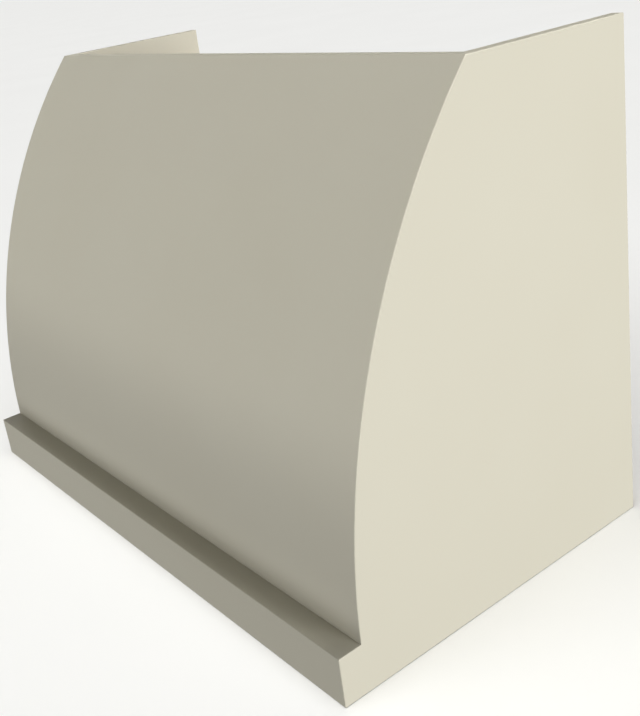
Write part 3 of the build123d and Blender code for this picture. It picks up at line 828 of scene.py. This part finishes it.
# %% [markdown]
# ## The boards at the wall
#
# The cover hangs on a French cleat: a board on the wall with its top edge bevelled at 45
# degrees, and a board in the cover whose lower edge is bevelled to match, so that the weight
# draws the two together. A plain rail along the bottom is screwed to the studs afterwards.
# All three are poplar. The holes for the wall screws come from the record, because that is
# where the part says what it is bolted to.
# %% Build the cleats and the rail
def wall_bores(pattern):
    """Tools for the wall screws of each bolt pattern whose name begins in one way."""
    tools = []
    for mount in frame["record"]["mounts"]:
        if not (mount["kind"] == "bolt_pattern" and mount["name"].startswith(pattern)):
            continue
        dims = mount["dims"]
        half_x, half_z = dims.get("spacing_x_mm", 0) / 2 * MM, dims["spacing_y_mm"] / 2 * MM
        hole = [(dims["hole_r_mm"] * MM, 0), (dims["hole_r_mm"] * MM, 2 * OVERCUT)]
        for x in sorted({-half_x, half_x}):
            for z in (-half_z, half_z):
                start = Vector(mount["pos_m"]) + Vector((x, -OVERCUT - PANEL / 2, z))
                tools.append(turned(hole, start, mount["axis"]))
    return tools


def board_at_wall(name, node, outline, tools):
    """Poplar board along X with its long edges sanded."""
    low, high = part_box(node)
    mesh = eased(pushed(outline, low.x, high.x), SANDED, runs_along(X))
    heart = heart_near(node, aside=60 * MM, below=45 * MM)
    poplar = solid_wood(name + "_poplar", X, heart, *POPLAR)
    return finish(piece(name, node, cut(mesh, tools)), poplar)


low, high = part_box("hood_cleat")
outline = [(high.y, low.z), (low.y, low.z + PANEL), (low.y, high.z), (high.y, high.z)]
board_at_wall("hanging_cleat", "hood_cleat", outline, screw_tools("hood_cleat"))

low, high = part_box("wall_cleat")
outline = [(high.y, low.z), (low.y, low.z), (low.y, high.z), (high.y, high.z - PANEL)]
board_at_wall("cleat_on_wall", "wall_cleat", outline, wall_bores("cleat_"))

low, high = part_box("lower_back_rail")
outline = rectangle(low.y, high.y, low.z, high.z)
rail_tools = screw_tools("lower_back_rail") + wall_bores("rail_")
board_at_wall("bottom_rail", "lower_back_rail", outline, rail_tools)

# %% [markdown]
# ## Strips for the liner
#
# Four poplar strips run round the bottom opening. The ventilator's metal liner is screwed up
# into them. They are themselves fixed with countersunk screws, whose heads lie flush. Each
# is a plain board, bored, sanded along its free edges, with the grain running along it.
# %% Build the liner strips
def liner_strip(name, node, along, free):
    """Strip along one axis. free tells whether a point lies on the face towards the opening."""
    low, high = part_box(node)
    mesh = pushed(rectangle(low.y, high.y, low.z, high.z), low.x, high.x)
    eased(mesh, SANDED, lambda a, b: runs_along(along)(a, b) and free(a) and free(b))
    heart = heart_near(node, aside=30 * MM, below=50 * MM)
    poplar = solid_wood(name + "_poplar", along, heart, *POPLAR)
    return finish(piece(name, node, cut(mesh, screw_tools(node))), poplar)


opening_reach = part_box("liner_cleat_right")[0].x + HAIR
opening_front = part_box("liner_cleat_front")[1].y - HAIR
opening_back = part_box("liner_cleat_back")[0].y + HAIR
for at, along, free in (
    ("left", Y, lambda p: abs(p.x) < opening_reach),
    ("right", Y, lambda p: abs(p.x) < opening_reach),
    ("front", X, lambda p: p.y > opening_front),
    ("back", X, lambda p: p.y < opening_back),
):
    liner_strip("liner_strip_" + at, "liner_cleat_" + at, along, free)

# %% [markdown]
# ## Glue blocks
#
# Small three-cornered blocks of pine stiffen the corners. Their corners can be read from the
# frame, so each block is the convex hull of its own six points. The hull comes in triangles;
# a limited dissolve joins those that lie in one plane, and then the edges can be sanded.
# %% Build the blocks
def hull(points):
    """Closed bmesh of the flat faces round a set of points."""
    mesh = bmesh.new()
    corners = [mesh.verts.new(point) for point in points]
    bmesh.ops.convex_hull(mesh, input=corners)
    bmesh.ops.dissolve_limit(mesh, angle_limit=radians(1), verts=mesh.verts, edges=mesh.edges)
    bmesh.ops.recalc_face_normals(mesh, faces=mesh.faces)
    return mesh


blocks = [eased(hull(points), SANDED, lambda a, b: True) for points in lumps("glue_blocks")]
corner_blocks = piece("corner_blocks", "glue_blocks", *blocks)

# %% Give the upright and the level blocks their pine
PINE_HEART = 60 * MM, -90 * MM, -50 * MM
NEAR_CLEAT = 45 * MM  # blocks this near the hanging cleat stand upright, the others lie level
cleat_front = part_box("hood_cleat")[0].y
upright, level = [solid_wood(name, along, PINE_HEART, *PINE)
                  for name, along in (("pine_upright", Z), ("pine_level", Y))]
finish(corner_blocks, upright, level, lambda middle, normal: middle.y > cleat_front - NEAR_CLEAT)

# %% [markdown]
# ## Pieces that stay as the frame has them
#
# The frame's own screws, dowels and brads already have their true shape, down to the square
# sockets. They keep their meshes and only get better materials, which is done by assigning
# to the material slots they came with.
# %% Dress the screws, dowels and brads
beech = solid_wood("beech_dowel", Y, (0, 0, 20 * MM), *BEECH)
for node, material in (
    ("pocket_screws", zinc), ("liner_cleat_screws", zinc), ("rib_screws", zinc),
    ("apron_dowels", beech), ("skin_brads", wire),
):
    for slot in frame["nodes"][node].material_slots:
        slot.material = material
    print(node, "is now", material.name)

# %% [markdown]
# ## The floor
#
# The cover stands on a plain pale floor. The photograph has a white ground that throws no
# light back on the wood, so the floor here is left out of the bounced light, and a soft sun
# that is linked to the floor alone brightens it. The floor still takes the cover's soft
# shadow, which is what makes the cover stand on it.
# %% Lay the floor
FLOOR_RADIUS, FLOOR_SIDES = 60.0, 96  # metres, so wide that its rim is out of sight
FLOOR_DROP = 0.5 * MM  # keeps the floor and the cover's underside from flickering
CHALK, CHALK_SHADED, DRIFT = "F4F4F2", "F0F0EE", 2 / 3  # two near whites, and how wide a drift is
floor_disc = bmesh.new()
bmesh.ops.create_circle(floor_disc, cap_ends=True, segments=FLOOR_SIDES, radius=FLOOR_RADIUS)
floor = loose_object("floor", [floor_disc])
floor.location.z = cover_low.z - FLOOR_DROP
floor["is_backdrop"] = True

chalk, tree, shader, place = new_material("chalk_white_floor", Roughness=0.95, IOR=1.45)
clouds = add(tree, "TexNoise", {"Vector": place, "Scale": 1 / DRIFT, "Detail": 2.0})
tone = add(tree, "Mix", {FACTOR: clouds, FIRST: linear(CHALK), SECOND: linear(CHALK_SHADED)}, **COLOURS)
connect(shader, Base_Color=tone)
floor.data.materials.append(chalk)
floor.visible_diffuse = False
floor.visible_glossy = False
floor.visible_shadow = False
print("floor at, in mm:", round(floor.location.z / MM, 2))

# %% [markdown]
# ## The light
#
# In the photograph the right side is the brightest face and even all over, so a large soft
# light stands far off on that side. The front is a quarter darker and fades downwards,
# because it leans back less and less. But the ledge lies in deep shade, though it faces
# straight up. So the main light above is a box with a grid, which lets only nearly parallel
# rays out and gives its beam a soft edge, low on the front. A weak strip behind the top edge
# reaches only the outer part of the ledge, since the curve shades the rest. A glow from low
# in front is what a pale table throws back. Lighting the scene with one light at a time and
# adding the pictures up gave the strengths whose sum comes closest to the photograph. Two
# last lights stand behind the cover and on its left, for whoever looks from there.
# %% A lamp that spares the floor
middle = (cover_low + cover_high) / 2
all_but_floor = bpy.data.collections.new("all_but_the_floor")
all_but_floor.objects.link(floor)
all_but_floor.collection_objects[0].light_linking.link_state = "EXCLUDE"


def from_angles(azimuth, elevation):
    """Direction from the cover: azimuth 0 is the front, 90 the right side."""
    a, e = radians(azimuth), radians(elevation)
    return Vector((sin(a) * cos(e), -cos(a) * cos(e), sin(e)))


def lamp(name, place, direction, width, height, watts):
    """Rectangular light at a place. direction leads from what it lights towards it."""
    made = bpy.data.objects.new(name, bpy.data.lights.new(name, "AREA"))
    made.data.shape, made.data.size, made.data.size_y = "RECTANGLE", width, height
    made.data.energy = watts
    made.location = place
    made.rotation_euler = (-direction).to_track_quat("-Z", "Y").to_euler()
    made.visible_camera = False
    made.light_linking.receiver_collection = all_but_floor
    scene.collection.objects.link(made)
    print(f"{name}: {watts:.2f} W")
    return made


# %% Set up the soft lights that face the cover
FAR, NEAR = 10.0, 4.5
for name, azimuth, elevation, distance, width, height, strength in (
    ("side_light", 100, 6, FAR, 4.4, 4.4, 1.02),
    ("strip_above", 180, 77, NEAR, 2.4, 0.6, 0.17),
    ("front_glow", -5, 2, NEAR, 2.8, 2.8, 0.28),
    ("table_glow", 0, -35, NEAR, 2.4, 2.4, 0.19),
    ("fill_light", -50, -12, NEAR, 2.4, 2.4, 0.09),
    ("back_light", 200, -8, NEAR, 2.4, 2.4, 0.45),
    ("left_light", -102, -2, NEAR, 2.4, 2.4, 0.26),
):
    direction = from_angles(azimuth, elevation)
    watts = strength * pi**2 * distance**2  # at strength 1, a white card facing it looks just white
    lamp(name, middle + direction * distance, direction, width, height, watts)

# %% Set up the light with the grid
GRID_WIDTH, GRID_DEPTH = 1.6, 0.75
GRID_DISTANCE = 0.92
GRID_STRENGTH = 0.41
GRID_SPREAD = radians(13)  # how far rays may stray from the lamp's own direction
BEAM_EDGE = 60 * MM  # how far behind the foot of the front the beam ends
upwards, backwards = from_angles(0, 75), from_angles(180, 15)
beam_edge = Vector((0.0, foot_y + BEAM_EDGE, foot_z))
grid_middle = beam_edge + upwards * GRID_DISTANCE + backwards * GRID_DEPTH / 2
grid_watts = GRID_STRENGTH * pi * GRID_WIDTH * GRID_DEPTH  # its beam is as large as itself
grid = lamp("grid_above", grid_middle, upwards, GRID_WIDTH, GRID_DEPTH, grid_watts)
grid.data.spread = GRID_SPREAD

# %% Light the floor and the backdrop
SUN_STRENGTH, SUN_SOFTNESS, SUN_TILT = 3.4, radians(80), (radians(20), radians(12), 0)
BACKDROP = "EDEDEB"  # nearly as light as the far floor, so that the horizon hardly shows
only_floor = bpy.data.collections.new("only_the_floor")
only_floor.objects.link(floor)
sun = bpy.data.lights.new("floor_sun", "SUN")
sun.energy, sun.angle = SUN_STRENGTH, SUN_SOFTNESS
floor_sun = bpy.data.objects.new("floor_sun", sun)
floor_sun.rotation_euler = SUN_TILT
floor_sun.light_linking.receiver_collection = only_floor
scene.collection.objects.link(floor_sun)

backdrop = bpy.data.worlds.new("pale_backdrop")
backdrop.use_nodes = True
backdrop.node_tree.nodes["Background"].inputs["Color"].default_value = linear(BACKDROP)
scene.world = backdrop
for kind in ("diffuse", "glossy", "transmission", "scatter"):
    setattr(backdrop.cycles_visibility, kind, False)
scene.view_settings.view_transform = "Standard"
print("floor sun and backdrop:", SUN_STRENGTH, BACKDROP)

# %% [markdown]
# ## The camera
#
# The picture was taken from the right, a little above, with a normal lens, and later cropped
# off-centre, which is what the small shift stands for. The place and the directions below
# were found by matching the corners of the cover to the corners in the photograph, in four
# decimals, so the two directions are first made exactly square. The columns of a camera's
# matrix are the axes of its picture: right, up and backwards.
# %% Place the camera
LENS, SENSOR_WIDTH, SHIFT = 50.325, 36.0, (0.0711, -0.0609)
PLACE = 1.3623, -1.1944, 0.9183
TO_RIGHT, FORWARD = (0.5975, 0.7891, -0.1429), (-0.7769, 0.5254, -0.3470)
camera_data = bpy.data.cameras.new("photo_camera")
camera_data.lens, camera_data.sensor_width = LENS, SENSOR_WIDTH
camera_data.shift_x, camera_data.shift_y = SHIFT
camera = bpy.data.objects.new("photo_camera", camera_data)
scene.collection.objects.link(camera)
to_right, forward = Vector(TO_RIGHT), Vector(FORWARD)
forward = (forward - to_right * forward.dot(to_right) / to_right.length_squared).normalized()
to_right.normalize()
upward = to_right.cross(forward)
axes = Matrix((to_right, upward, -forward)).transposed().to_4x4()
camera.matrix_world = Matrix.Translation(PLACE) @ axes
scene.camera = camera
print("camera is", round((camera.location - middle).length, 2), "m from the middle of the cover")

# %% [markdown]
# ## Check and finish
#
# The dressed model must fill the same box as the frame, so the largest difference between
# the two boxes is printed.
# %% Print how far the two boxes differ
dressed_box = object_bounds()
largest = max((a - b).length for a, b in zip(cad_box, dressed_box))
print("largest difference of the boxes, in mm:", round(largest / MM, 3))
